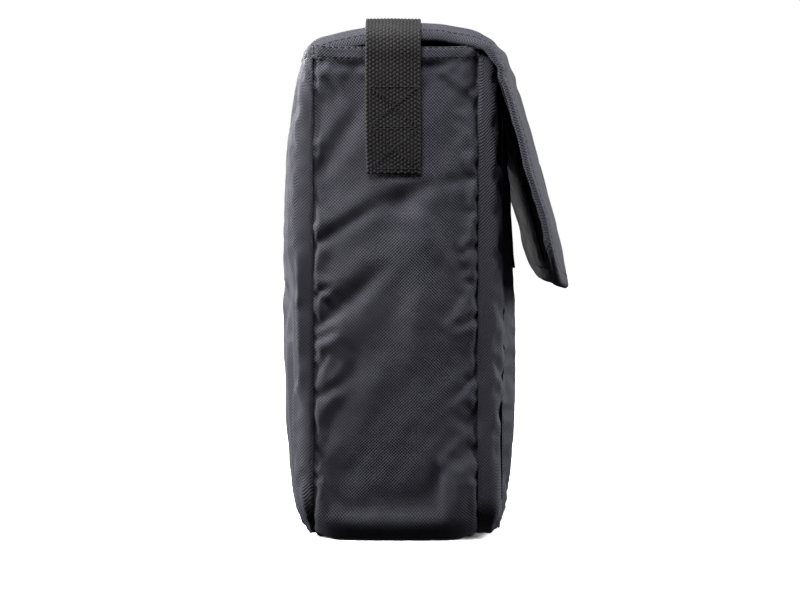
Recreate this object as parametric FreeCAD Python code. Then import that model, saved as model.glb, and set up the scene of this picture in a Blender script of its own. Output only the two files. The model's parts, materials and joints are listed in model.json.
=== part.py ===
"""A soft, padded carry case for a small tabletop telescope, in millimetres.

The case stands on its bottom. +Z is up, the front with its pocket and flap faces -Y, and X runs along the
width. The origin is on the surface the case stands on, in the middle of the gusset's bottom.
Two padded panels, front and back, are sewn to a gusset that runs down one side, under the case and up the other.
A flap starts at the back panel's top edge, goes over the open mouth and hangs down in front of the pocket.
A webbing carry strap is sewn to both sides and lies over the flap.
"""
import FreeCAD
import Part
import math
import os

V = FreeCAD.Vector

# Driving sizes of the case.
WIDTH = 300.0
GUSSET = 114.0                # from seam to seam, front to back
MOUTH_HEIGHT = 342.0          # top of the gusset's hem
BASE_RADIUS = 30.0            # the two bottom corners, seen from the front
BACK_DEPTH, BACK_TOP, BACK_ROUND = 25.0, 344.0, 20.0
FRONT_DEPTH, FRONT_TOP, FRONT_ROUND = 15.0, 341.0, 13.5

# Cloth, foam and board.
CLOTH = 1.0
LINING = 0.6
PANEL_FOAM = 7.0
SIDE_FOAM = 5.0
BOARD = 1.5
HEM = 10.0
CLEAR = 0.3                   # kept between pieces of different bodies

# The flap, along the middle of its outer surface: the back seam, the crest and the fold, as (y, z).
FLAP_THICK = 3.5
FLAP_CORE = 2.0
FLAP_SEAM, FLAP_CREST, FLAP_FOLD = (60.5, 347.8), (0.0, 358.6), (-79.0, 339.5)
FLAP_ANGLE = 16.0             # how far the front part hangs out from the vertical
FLAP_LENGTH = 164.0           # of the front part, from the fold to the edge
FLAP_ROLL = 11.0              # radius of the top part's rolled side edges
FLAP_EDGE = [(60.5, 344.5), (-61.0, 342.6), (-79.0, 333.0)]   # how far down its rolled side edges reach, as (y, z)
FLAP_CORNER = 26.0

# The front pocket: its outer face from the mouth to the bottom seam, as (y, z).
POCKET_WIDTH = 256.0
POCKET_FACE = [(-80.5, 311.0), (-86.0, 262.0), (-88.6, 190.0), (-88.6, 110.0), (-84.5, 45.0), (-77.0, 10.0)]
POCKET_FOOT = 4.0

# The carry strap of webbing.
STRAP_WIDTH, STRAP_THICK, STRAP_Y = 38.0, 1.6, 1.5
STRAP_LOW, STRAP_SEWN_TOP = 254.0, 316.0
STRAP_BEND = 11.3             # inner radius where it turns over the flap's edge
STRAP_TOP = 358.9             # its underside over the flap
THREAD = 0.7

# Hook-and-loop closure and the blank patch on the flap.
TAPE_WIDTH, TAPE_LENGTH, TAPE_THICK, TAPE_X = 25.0, 60.0, 1.6, 70.0
POCKET_TAPE_Z, FLAP_TAPE_DOWN = 188.0, 92.0
PATCH_WIDTH, PATCH_HEIGHT, PATCH_THICK, PATCH_DOWN = 80.0, 48.0, 1.2, 80.0

# The padded divider.
DIVIDER_X, DIVIDER_THICK, DIVIDER_LOW, DIVIDER_TOP = 55.0, 8.0, 9.0, 240.0
DIVIDER_COVER = 0.8

HALF_WIDTH, HALF_GUSSET = WIDTH / 2, GUSSET / 2
LINING_INSET = CLOTH + SIDE_FOAM


def box(x0, x1, y0, y1, z0, z1):
    return Part.makeBox(x1 - x0, y1 - y0, z1 - z0, V(x0, y0, z0))


def save(name, *solids):
    """Writes the solids of one node."""
    shape = solids[0] if len(solids) == 1 else Part.makeCompound(list(solids))
    for solid in shape.Solids:
        if not solid.isValid() or solid.Volume <= 0:
            raise ValueError(f"{name} has a bad solid")
    shape.exportStep(f"parts/{name}.step")
    print(f"{name}: {len(shape.Solids)} solid(s), {shape.Volume / 1000:.1f} cm3")


def u_outline(inset, top, y):
    """The case seen from the front, as a face at y: square at the top and rounded at the bottom."""
    x, low, r = HALF_WIDTH - inset, inset, BASE_RADIUS - inset
    c = r * (1 - math.sqrt(0.5))
    points = [V(-x, y, top), V(-x, y, low + r), V(-x + r, y, low), V(x - r, y, low), V(x, y, low + r), V(x, y, top)]
    edges = [
        Part.makeLine(points[0], points[1]),
        Part.Arc(points[1], V(-x + c, y, low + c), points[2]).toShape(),
        Part.makeLine(points[2], points[3]),
        Part.Arc(points[3], V(x - c, y, low + c), points[4]).toShape(),
        Part.makeLine(points[4], points[5]),
        Part.makeLine(points[5], points[0]),
    ]
    return Part.Face(Part.Wire(edges))


def pillow(inset, side, depth, top, rounding):
    """A panel's block from its seam outwards, with its outer rim rounded. side is 1 for the back, -1 for the front."""
    seam = side * HALF_GUSSET
    block = u_outline(inset, top - inset, seam).extrude(V(0, side * (depth - inset), 0))
    face_y = seam + side * (depth - inset)
    rim = [e for e in block.Edges if all(abs(v.Point.y - face_y) < 1e-6 for v in e.Vertexes)]
    return block.makeFillet(rounding - inset, rim)


def slab(side, near, far):
    """The space between two distances from the seam, on one side."""
    ys = sorted((side * (HALF_GUSSET + near), side * (HALF_GUSSET + far)))
    return box(-WIDTH, WIDTH, ys[0], ys[1], -10, 400)


def panel(name, side, depth, top, rounding):
    """A padded panel: its cover, the foam behind it and its lining."""
    outer = pillow(0, side, depth, top, rounding)
    within = pillow(CLOTH, side, depth, top, rounding)
    lined = pillow(CLOTH + LINING, side, depth, top, rounding)
    foam_from = depth - CLOTH - PANEL_FOAM
    save(f"{name}_panel_cover", outer.cut(within))
    save(f"{name}_panel_foam", within.common(slab(side, foam_from, depth)))
    lining = within.common(slab(side, 0, foam_from)).cut(lined.common(slab(side, 0, foam_from - LINING)))
    save(f"{name}_panel_lining", lining)


def strip(outer_inset, inner_inset, y0, y1, top):
    """A U-shaped strip along the gusset, between two insets from the outside of the case."""
    outer = u_outline(outer_inset, top, y0).extrude(V(0, y1 - y0, 0))
    inner = u_outline(inner_inset, top + 1, y0 - 1).extrude(V(0, y1 - y0 + 2, 0))
    return outer.cut(inner)


def gusset():
    """The strip down one side, under the case and up the other, with its hem, foam, board and lining."""
    h = HALF_GUSSET
    cover = strip(0, CLOTH, -h, h, MOUTH_HEIGHT)
    for side in (-1, 1):
        hem = box(HALF_WIDTH - 2 * CLOTH, HALF_WIDTH - CLOTH / 2, -h, h, MOUTH_HEIGHT - HEM, MOUTH_HEIGHT)
        if side < 0:
            hem = hem.mirror(V(0, 0, 0), V(1, 0, 0))
        cover = cover.fuse(hem)
    save("gusset_cover", cover.removeSplitter())

    foam_low, foam_top = BASE_RADIUS + 2, MOUTH_HEIGHT - HEM - 2
    foam = box(HALF_WIDTH - LINING_INSET, HALF_WIDTH - CLOTH, -h, h, foam_low, foam_top)
    save("side_foam_right", foam)
    save("side_foam_left", foam.mirror(V(0, 0, 0), V(1, 0, 0)))
    flat = HALF_WIDTH - BASE_RADIUS
    save("bottom_board", box(-flat, flat, -h, h, CLOTH, CLOTH + BOARD))
    save("bottom_foam", box(-flat, flat, -h, h, CLOTH + BOARD, LINING_INSET))
    save("gusset_lining", strip(LINING_INSET, LINING_INSET + LINING, -h, h, MOUTH_HEIGHT - HEM))

    tape_width, tape_thick = 7.0, 1.2
    inset = LINING_INSET + LINING
    for name, y0 in (("front_seam_tape", -h), ("back_seam_tape", h - tape_width)):
        save(name, strip(inset, inset + tape_thick, y0, y0 + tape_width, MOUTH_HEIGHT - HEM))


def pocket_profile(shift, top, bottom):
    """The pocket's section from the front panel to its face, with the face moved shift towards the panel."""
    panel_y = -HALF_GUSSET - FRONT_DEPTH
    face = [V(0, y + shift, z) for y, z in POCKET_FACE]
    face[0].z, face[-1].z = top, face[-1].z + shift
    curve = Part.BSplineCurve()
    curve.interpolate(face)
    foot, head = V(0, panel_y, bottom), V(0, panel_y, top)
    edges = [
        curve.toShape(),
        Part.makeLine(face[-1], foot),
        Part.makeLine(foot, head),
        Part.makeLine(head, face[0]),
    ]
    return Part.Face(Part.Wire(edges))


def pocket():
    """The bellows pocket on the front panel: its face, the gusset round it, the hem at its mouth and its hook tapes."""
    half = POCKET_WIDTH / 2
    top = POCKET_FACE[0][1]

    def block(inset, low):
        section = pocket_profile(inset, top, low)
        section.translate(V(-half + inset, 0, 0))
        return section.extrude(V(2 * (half - inset), 0, 0))

    shell = block(0, POCKET_FOOT).cut(block(CLOTH, POCKET_FOOT + CLOTH))
    foot_z = POCKET_FACE[-1][1]
    front = box(-half + CLOTH, half - CLOTH, -200, 0, foot_z, top)
    save("front_pocket_panel", shell.common(front))
    save("front_pocket_gusset", shell.cut(front))

    hem = block(CLOTH, POCKET_FOOT + CLOTH).cut(block(1.7 * CLOTH, POCKET_FOOT + 2 * CLOTH))
    save("front_pocket_hem", hem.common(box(-half, half, -200, 0, top - HEM, top)))

    face_y = min(y for y, _ in POCKET_FACE)
    tapes = []
    for side in (-1, 1):
        x = side * TAPE_X - TAPE_WIDTH / 2
        tape = box(x, x + TAPE_WIDTH, face_y - TAPE_THICK, face_y + 1, POCKET_TAPE_Z, POCKET_TAPE_Z + TAPE_LENGTH)
        tapes.append(tape.cut(block(0, POCKET_FOOT)))
    save("pocket_hook_tapes", *tapes)


def flap_top_block(inset):
    """The space under the flap's top part: an arch from the back seam to the fold, with rolled side edges."""
    low = 320.0
    (y0, z0), (y1, z1), (y2, z2) = FLAP_SEAM, FLAP_CREST, FLAP_FOLD
    x = HALF_WIDTH - inset
    back, crest, fold = V(-x, y0, z0 - inset), V(-x, y1, z1 - inset), V(-x, y2, z2 - inset)
    edges = [
        Part.Arc(back, crest, fold).toShape(),
        Part.makeLine(fold, V(-x, y2, low)),
        Part.makeLine(V(-x, y2, low), V(-x, y0, low)),
        Part.makeLine(V(-x, y0, low), back),
    ]
    block = Part.Face(Part.Wire(edges)).extrude(V(2 * x, 0, 0))
    arches = [e for e in block.Edges if isinstance(e.Curve, Part.Circle)]
    return block.makeFillet(FLAP_ROLL - inset, arches)


def flap_top():
    """The flap over the mouth, from the back seam to the fold: cover, stiffener and lining."""
    y0, y2 = FLAP_SEAM[0], FLAP_FOLD[0]
    fold_z = FLAP_FOLD[1]
    # Under the fold's line the top part starts a little way back, so that the front part can turn past it.
    clear_of_fold = box(-200, 200, y2, y0, fold_z, 400).fuse(box(-200, 200, y2 + 4, y0, 320, 400))
    middle = box(-HALF_WIDTH + FLAP_ROLL, HALF_WIDTH - FLAP_ROLL, y2, y0, 320, 400)
    corners = [V(-200, y, z) for y, z in FLAP_EDGE] + [V(-200, y2, 400), V(-200, y0, 400)]
    above_edge = Part.Face(Part.makePolygon(corners + corners[:1])).extrude(V(400, 0, 0))
    kept = middle.fuse(above_edge).common(clear_of_fold)
    insets = [0, CLOTH, CLOTH + FLAP_CORE, FLAP_THICK]
    blocks = [flap_top_block(i) for i in insets]
    for name, outer, inner in zip(("cover", "stiffener", "lining"), blocks, blocks[1:]):
        save(f"flap_top_{name}", *outer.cut(inner).common(kept).Solids)


def hang(shape):
    """Tilts a shape made hanging straight down from the fold's line outwards to the flap's angle, and puts it there."""
    shape.rotate(V(0, 0, 0), V(1, 0, 0), -FLAP_ANGLE)
    shape.translate(V(0, *FLAP_FOLD))
    return shape


def flap_sheet(inset, near, far, roll=0.0):
    """A sheet of the front part, hanging down from z = 0, between two distances behind its outer face."""
    x, low, r = HALF_WIDTH - inset, -FLAP_LENGTH + inset, FLAP_CORNER - inset
    c = r * (1 - math.sqrt(0.5))
    top = -CLEAR
    points = [V(-x, near, top), V(-x, near, low + r), V(-x + r, near, low)]
    points += [V(-p.x, near, p.z) for p in reversed(points)]
    edges = [
        Part.makeLine(points[0], points[1]),
        Part.Arc(points[1], V(-x + c, near, low + c), points[2]).toShape(),
        Part.makeLine(points[2], points[3]),
        Part.Arc(points[3], V(x - c, near, low + c), points[4]).toShape(),
        Part.makeLine(points[4], points[5]),
        Part.makeLine(points[5], points[0]),
    ]
    return Part.Face(Part.Wire(edges)).extrude(V(0, far - near, 0))


def flap_front():
    """The flap in front of the case: cover with its turned edge, stiffener, lining, loop tapes and a blank patch."""
    turn = 8.0
    core = flap_sheet(turn, CLOTH, CLOTH + FLAP_CORE)
    lining = flap_sheet(turn, CLOTH + FLAP_CORE, FLAP_THICK)
    cover = flap_sheet(0, 0, FLAP_THICK).cut(flap_sheet(turn, CLOTH, FLAP_THICK + 1))
    save("flap_front_cover", hang(cover))
    save("flap_front_stiffener", hang(core))
    save("flap_front_lining", hang(lining))

    tapes = []
    for side in (-1, 1):
        x = side * TAPE_X - TAPE_WIDTH / 2
        z = -FLAP_TAPE_DOWN - TAPE_LENGTH
        tapes.append(hang(box(x, x + TAPE_WIDTH, FLAP_THICK, FLAP_THICK + TAPE_THICK, z, z + TAPE_LENGTH)))
    save("flap_loop_tapes", *tapes)
    half = PATCH_WIDTH / 2
    save("flap_patch", hang(box(-half, half, -PATCH_THICK, 0, -PATCH_DOWN - PATCH_HEIGHT, -PATCH_DOWN)))


def strap_end():
    """The sewn end of the webbing on the right side, turned under, and the thread of its two box stitches."""
    y0, y1 = STRAP_Y - STRAP_WIDTH / 2, STRAP_Y + STRAP_WIDTH / 2
    x = HALF_WIDTH + 2 * STRAP_THICK
    webbing = box(HALF_WIDTH, x, y0, y1, STRAP_LOW, STRAP_SEWN_TOP)
    turn = [e for e in webbing.Edges if all(abs(v.Z - STRAP_LOW) < 1e-6 for v in e.Vertexes)]
    turn = [e for e in turn if all(abs(v.X - x) < 1e-6 for v in e.Vertexes)]
    webbing = webbing.makeFillet(STRAP_THICK, turn)

    edge = 3.0
    a, b = y0 + edge, y1 - edge
    low, high, middle = STRAP_LOW + edge, STRAP_SEWN_TOP - edge, (STRAP_LOW + STRAP_SEWN_TOP) / 2
    threads = []
    for z0, z1 in ((low, middle - THREAD), (middle + THREAD, high)):
        runs = [((a, z0), (b, z0)), ((a, z1), (b, z1)), ((a, z0), (a, z1)), ((b, z0), (b, z1))]
        runs += [((a, z0), (b, z1)), ((a, z1), (b, z0))]
        stitch = [thread_run(x, *run) for run in runs]
        threads.append(stitch[0].fuse(stitch[1:]))
    return webbing, threads


def thread_run(x, start, end):
    """A straight run of thread lying on the webbing's face at x, between two (y, z) points."""
    (y0, z0), (y1, z1) = start, end
    length = math.hypot(y1 - y0, z1 - z0)
    run = box(0, THREAD / 2, -THREAD / 2, length + THREAD / 2, -THREAD / 2, THREAD / 2)
    run.rotate(V(0, 0, 0), V(1, 0, 0), math.degrees(math.atan2(z1 - z0, y1 - y0)))
    run.translate(V(x, y0, z0))
    return run


def strap_span():
    """The free webbing from one sewn end, over the flap, to the other."""
    y0 = STRAP_Y - STRAP_WIDTH / 2

    def outline(grow):
        x, top, r = HALF_WIDTH + STRAP_THICK + grow, STRAP_TOP + grow, STRAP_BEND + grow
        c = r * (1 - math.sqrt(0.5))
        low = STRAP_SEWN_TOP + CLEAR
        right = [V(x, y0, low), V(x, y0, top - r), V(x - r, y0, top)]
        left = [V(-p.x, y0, p.z) for p in reversed(right)]
        edges = [
            Part.makeLine(right[0], right[1]),
            Part.Arc(right[1], V(x - c, y0, top - c), right[2]).toShape(),
            Part.makeLine(right[2], left[0]),
            Part.Arc(left[0], V(-x + c, y0, top - c), left[1]).toShape(),
            Part.makeLine(left[1], left[2]),
            Part.makeLine(left[2], right[0]),
        ]
        return Part.Face(Part.Wire(edges)).extrude(V(0, STRAP_WIDTH, 0))

    return outline(STRAP_THICK).cut(outline(0))


def strap():
    save("carry_strap_span", strap_span())
    webbing, threads = strap_end()
    save("strap_end_right", webbing)
    save("strap_stitching_right", *threads)
    save("strap_end_left", webbing.mirror(V(0, 0, 0), V(1, 0, 0)))
    save("strap_stitching_left", *[t.mirror(V(0, 0, 0), V(1, 0, 0)) for t in threads])


def divider():
    """A padded divider held by hook tape to the front and back linings, and moved along them."""
    front = -HALF_GUSSET - FRONT_DEPTH + CLOTH + PANEL_FOAM + LINING
    back = HALF_GUSSET + BACK_DEPTH - CLOTH - PANEL_FOAM - LINING
    tape = 1.5
    y0, y1 = front + 2 * CLEAR + tape, back - 2 * CLEAR - tape
    x0, x1 = DIVIDER_X - DIVIDER_THICK / 2, DIVIDER_X + DIVIDER_THICK / 2
    c = DIVIDER_COVER
    core = box(x0 + c, x1 - c, y0 + c, y1 - c, DIVIDER_LOW + c, DIVIDER_TOP - c)
    save("divider_foam", core)
    save("divider_cover", box(x0, x1, y0, y1, DIVIDER_LOW, DIVIDER_TOP).cut(core))
    tapes = [box(x0 + 1, x1 - 1, y, y + tape, DIVIDER_LOW + 20, DIVIDER_TOP - 20) for y in (y0 - tape, y1)]
    save("divider_hook_tapes", *tapes)


def main():
    os.makedirs("parts", exist_ok=True)
    panel("back", 1, BACK_DEPTH, BACK_TOP, BACK_ROUND)
    panel("front", -1, FRONT_DEPTH, FRONT_TOP, FRONT_ROUND)
    gusset()
    pocket()
    flap_top()
    flap_front()
    strap()
    divider()


main()
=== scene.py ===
"""The looks of a padded telescope carry case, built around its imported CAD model.

All shapes are worked out in millimetres, and turned into metres when a mesh is made.
"""
import bpy
import json
import math
import numpy as np
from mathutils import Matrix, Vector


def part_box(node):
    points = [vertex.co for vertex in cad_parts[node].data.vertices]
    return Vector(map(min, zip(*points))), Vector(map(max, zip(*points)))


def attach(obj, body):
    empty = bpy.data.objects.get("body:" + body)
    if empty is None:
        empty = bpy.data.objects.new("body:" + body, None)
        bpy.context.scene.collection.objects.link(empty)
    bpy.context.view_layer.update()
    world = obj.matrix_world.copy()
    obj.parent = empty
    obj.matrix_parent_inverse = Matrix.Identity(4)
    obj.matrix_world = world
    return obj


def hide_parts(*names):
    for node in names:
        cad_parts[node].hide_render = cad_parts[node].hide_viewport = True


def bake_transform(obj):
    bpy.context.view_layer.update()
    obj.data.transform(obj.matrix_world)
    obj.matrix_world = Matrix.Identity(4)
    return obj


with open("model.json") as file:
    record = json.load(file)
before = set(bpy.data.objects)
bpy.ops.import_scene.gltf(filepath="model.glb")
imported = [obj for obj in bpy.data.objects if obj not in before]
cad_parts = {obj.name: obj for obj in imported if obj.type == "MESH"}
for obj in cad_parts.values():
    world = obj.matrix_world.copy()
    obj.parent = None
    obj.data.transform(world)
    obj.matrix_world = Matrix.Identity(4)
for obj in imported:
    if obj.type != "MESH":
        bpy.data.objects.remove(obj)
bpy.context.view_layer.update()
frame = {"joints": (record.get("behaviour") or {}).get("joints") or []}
MM = 0.001


def cad(node):
    """The lowest and highest corners of a CAD node, in millimetres."""
    low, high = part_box(node)
    return np.array(low) / MM, np.array(high) / MM


# Sizes that come from the CAD model.
HALF_WIDTH, SEAM, MOUTH = cad("gusset_cover")[1]
BACK_HIGH = cad("back_panel_cover")[1]
BACK_DEPTH, BACK_TOP = BACK_HIGH[1] - SEAM, BACK_HIGH[2]
FRONT_LOW, FRONT_HIGH = cad("front_panel_cover")
FRONT_DEPTH, FRONT_TOP = -FRONT_LOW[1] - SEAM, FRONT_HIGH[2]
FRONT_FACE = -SEAM - FRONT_DEPTH
POCKET_LOW, POCKET_HIGH = cad("front_pocket_panel")
POCKET_HALF = cad("front_pocket_gusset")[1][0]
STRAP_LOW, STRAP_HIGH = cad("strap_end_left")
STRAP_MIDDLE = (STRAP_LOW[1] + STRAP_HIGH[1]) / 2
STRAP_TOP = cad("carry_strap_span")[1][2]

# Sizes of the cloth itself.
BASE_RADIUS = 30.0          # of the case's two bottom corners
HEM = 10.0                  # of the turned hem at the gusset's mouth
STRAP_WIDTH = 38.0
STRAP_FACE = HALF_WIDTH + 3.3
TAPE_WIDTH = 25.0           # of the hook and loop tapes on the pocket and the flap

FINE_POINTS = 1500          # along a curve, before it is divided evenly
PATCH_GRID = (22, 26)       # rows and columns of a patch or tape laid on another surface

JOINTS = {joint["name"]: joint for joint in frame["joints"]}


# ---------------------------------------------------------------- meshes

def smoothstep(low, high, value):
    t = np.clip((value - low) / (high - low), 0, 1)
    return t * t * (3 - 2 * t)


def bump(value, width):
    return np.exp(-(value / width) ** 2)


def unit(vectors):
    """Vectors brought to length 1."""
    return vectors / np.maximum(np.linalg.norm(vectors, axis=-1, keepdims=True), 1e-9)


def run_length(line):
    """How far along a line of points each point is."""
    return np.concatenate([[0], np.cumsum(np.linalg.norm(np.diff(line, axis=0), axis=1))])


def eased(count, share):
    """Places from -1 to 1 that lie closer together towards both ends, the more so as share nears 1."""
    return np.sin(np.linspace(-1, 1, count) * math.pi / 2 * share) / math.sin(math.pi / 2 * share)


def ripples(seed, shortest, longest, count=7, turn=None, spread=math.pi):
    """A smooth random field over two coordinates, about 1 high, the same on every run."""
    rng = np.random.default_rng(seed)
    waves = []
    for _ in range(count):
        angle = rng.uniform(-spread, spread) / 2 + (turn if turn is not None else rng.uniform(0, math.pi))
        length = rng.uniform(shortest, longest)
        waves.append((2 * math.pi * math.cos(angle) / length, 2 * math.pi * math.sin(angle) / length,
                      rng.uniform(0, 2 * math.pi)))

    def field(a, b):
        return sum(np.sin(ka * a + kb * b + phase) for ka, kb, phase in waves) / math.sqrt(count)
    return field


def grid_normals(points):
    """Unit normals of a grid of points, along the cross product of its two directions."""
    return unit(np.cross(np.gradient(points, axis=0), np.gradient(points, axis=1)))


def grid_faces(rows, columns, start=0, flip=False):
    index = np.arange(rows * columns).reshape(rows, columns) + start
    quads = np.stack([index[:-1, :-1], index[1:, :-1], index[1:, 1:], index[:-1, 1:]], axis=-1)
    quads = quads.reshape(-1, 4)
    return quads[:, ::-1] if flip else quads


def grid_border(points):
    """The numbers of a grid's border points, in order round it."""
    index = np.arange(points.shape[0] * points.shape[1]).reshape(points.shape[:2])
    return np.concatenate([index[0, :], index[1:, -1], index[-1, -2::-1], index[-2:0:-1, 0]])


def add_object(name, points, faces, material, weave=None, smooth=True):
    """An object from points in millimetres. weave holds each point's place along the cloth."""
    mesh = bpy.data.meshes.new(name)
    mesh.from_pydata((np.asarray(points) * MM).tolist(), [], [list(map(int, f)) for f in faces])
    mesh.validate()
    mesh.update()
    if weave is not None:
        attribute = mesh.attributes.new("weave", "FLOAT_VECTOR", "POINT")
        attribute.data.foreach_set("vector", np.asarray(weave, np.float32).ravel())
    mesh.polygons.foreach_set("use_smooth", [smooth] * len(mesh.polygons))
    mesh.materials.append(material)
    piece = bpy.data.objects.new(name, mesh)
    bpy.context.scene.collection.objects.link(piece)
    return piece


def cloth_lengths(points):
    """Each point's distance along the cloth from the grid's middle, measured over its own row and column."""
    lengths = []
    for axis in (1, 0):
        step = np.linalg.norm(np.diff(points, axis=axis), axis=2)
        run = np.cumsum(np.insert(step, 0, 0, axis=axis), axis=axis)
        lengths.append(run - np.take(run, [run.shape[axis] // 2], axis=axis))
    return np.stack(lengths + [np.zeros(points.shape[:2])], -1)


def closed_sheet(name, outer, inner, rings, weave, material):
    """A closed object with two grids as its faces, joined round their borders by way of rings of points.

    Each ring comes with how far its weave is moved.
    """
    rows, columns = outer.shape[:2]
    total = rows * columns
    border = grid_border(outer)
    weave = weave.reshape(-1, 3)
    vertices, woven = [outer.reshape(-1, 3), inner.reshape(-1, 3)], [weave, weave]
    faces = [grid_faces(rows, columns), grid_faces(rows, columns, total, flip=True)]
    numbers = [border]
    for k, (ring, moved) in enumerate(rings):
        vertices.append(ring)
        woven.append(weave[border] + moved)
        numbers.append(np.arange(len(border)) + 2 * total + k * len(border))
    for a, b in zip(numbers, numbers[1:] + [border + total]):
        faces.append(np.stack([a, b, np.roll(b, -1), np.roll(a, -1)], -1)[:, ::-1])
    return add_object(name, np.concatenate(vertices), np.concatenate(faces), material, np.concatenate(woven))


def cloth_shell(name, points, thickness, material, weave=None, rounded=True):
    """A closed piece of cloth: a grid as its outer face, and the same grid moved in by its thickness."""
    normals = grid_normals(points)
    depth = np.broadcast_to(np.asarray(thickness, float), points.shape[:2])[..., None]
    edge = points - normals * depth / 2 + edge_directions(points, normals) * depth / 2
    rings = [(edge.reshape(-1, 3)[grid_border(points)], 0)] if rounded else []
    weave = cloth_lengths(points) if weave is None else weave
    return closed_sheet(name, points, points - normals * depth, rings, weave, material)


def sandwich(name, outer, inner, weave, material, steps=5):
    """A closed padded sheet: an outer and an inner face joined round the edge by a rounded, turned hem."""
    border = grid_border(outer)
    out = edge_directions(outer, grid_normals(outer)).reshape(-1, 3)[border]
    top, bottom = outer.reshape(-1, 3)[border], inner.reshape(-1, 3)[border]
    half = np.linalg.norm(top - bottom, axis=1, keepdims=True) / 2
    rings = []
    for step in range(1, steps):
        angle = math.pi * step / steps
        ring = (top + bottom) / 2 + (top - bottom) / 2 * math.cos(angle) + out * half * math.sin(angle) * 0.9
        rings.append((ring, np.array([0, step * 0.9, 0])))
    return closed_sheet(name, outer, inner, rings, weave, material)


def edge_directions(points, normals):
    """For each border point of a grid, the direction out of it in its own plane. Inner points get zero."""
    out = np.zeros_like(points)
    out[0] += points[0] - points[1]
    out[-1] += points[-1] - points[-2]
    out[:, 0] += points[:, 0] - points[:, 1]
    out[:, -1] += points[:, -1] - points[:, -2]
    return unit(out - normals * np.sum(out * normals, axis=2, keepdims=True))


def resample(curve, count=None, step=None):
    """Points evenly spaced along a smooth curve through others, given their number or their spacing."""
    curve = np.asarray(curve, float)
    chord = run_length(curve)
    fine_at = np.linspace(0, chord[-1], FINE_POINTS)
    fine = np.stack([smooth_through(chord, values, fine_at) for values in curve.T], -1)
    length = run_length(fine)
    count = count or int(round(length[-1] / step)) + 1
    at = np.linspace(0, length[-1], count)
    return np.stack([np.interp(at, length, values) for values in fine.T], -1)


def smooth_through(at, values, where):
    """A smooth curve through values, with slopes that don't overshoot."""
    slope = np.gradient(values, at)
    index = np.clip(np.searchsorted(at, where, side="right") - 1, 0, len(at) - 2)
    span = at[index + 1] - at[index]
    t = (where - at[index]) / span
    h00, h10 = 2 * t ** 3 - 3 * t ** 2 + 1, t ** 3 - 2 * t ** 2 + t
    h01, h11 = -2 * t ** 3 + 3 * t ** 2, t ** 3 - t ** 2
    return (h00 * values[index] + h10 * span * slope[index] + h01 * values[index + 1]
            + h11 * span * slope[index + 1])


def simulate(points, pinned, pressure, growth, frames):
    """How far each point of a grid of cloth moves under pressure, as it grows by a share of its size."""
    mesh = bpy.data.meshes.new("settling")
    flat = points.reshape(-1, 3) * MM
    mesh.from_pydata(flat.tolist(), [], grid_faces(*points.shape[:2]).tolist())
    sheet = bpy.data.objects.new("settling", mesh)
    scene = bpy.context.scene
    scene.collection.objects.link(sheet)
    sheet.vertex_groups.new(name="held").add(np.flatnonzero(pinned.ravel()).tolist(), 1.0, "REPLACE")
    cloth = sheet.modifiers.new("cloth", "CLOTH")
    setup = cloth.settings
    setup.vertex_group_mass = "held"
    setup.use_pressure = True
    setup.uniform_pressure_force = pressure
    setup.shrink_min = -growth
    setup.quality = 6
    setup.mass = 0.2
    setup.tension_stiffness = setup.compression_stiffness = 25
    setup.shear_stiffness = 8
    setup.bending_stiffness = 0.15
    setup.air_damping = 3
    setup.effector_weights.gravity = 0
    cloth.collision_settings.use_collision = False
    cloth.point_cache.frame_start, cloth.point_cache.frame_end = 1, frames
    for number in range(1, frames + 1):
        scene.frame_set(number)
    moved = np.empty(flat.size, np.float32)
    sheet.evaluated_get(bpy.context.evaluated_depsgraph_get()).data.vertices.foreach_get("co", moved)
    scene.frame_set(1)
    bpy.data.objects.remove(sheet)
    bpy.data.meshes.remove(mesh)
    return ((moved.reshape(-1, 3) - flat) / MM).reshape(points.shape)


def settle(points, pinned, pressure, growth, cap, frames=18):
    """Lets cloth fill out and buckle where it isn't pinned, by cap at most. Returns how far each point moved.

    The simulation runs on every second row and column of the grid.
    """
    rows, columns = (np.unique(np.append(np.arange(0, n, 2), n - 1)) for n in points.shape[:2])
    coarse = np.ix_(rows, columns)
    shift = simulate(points[coarse], pinned[coarse], pressure, growth, frames)
    far = np.linalg.norm(shift, axis=-1, keepdims=True)
    shift *= np.minimum(1, cap / np.maximum(far, 1e-6))
    for axis, kept in ((0, rows), (1, columns)):
        shift = smooth_along(shift, axis, kept.astype(float), np.arange(points.shape[axis]))
    return shift


def smooth_along(grid, axis, at, where):
    """A grid's values, known at some places along one axis, at other places along it."""
    lines = np.moveaxis(grid, axis, 0)
    result = [smooth_through(at, line, where) for line in lines.reshape(len(at), -1).T]
    return np.moveaxis(np.array(result).T.reshape((len(where),) + lines.shape[1:]), 0, axis)


def held_edges(points, width=2):
    """True for the points within a few rows of a grid's border."""
    held = np.ones(points.shape[:2], bool)
    held[width:-width, width:-width] = False
    return held


# ---------------------------------------------------------------- materials

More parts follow.
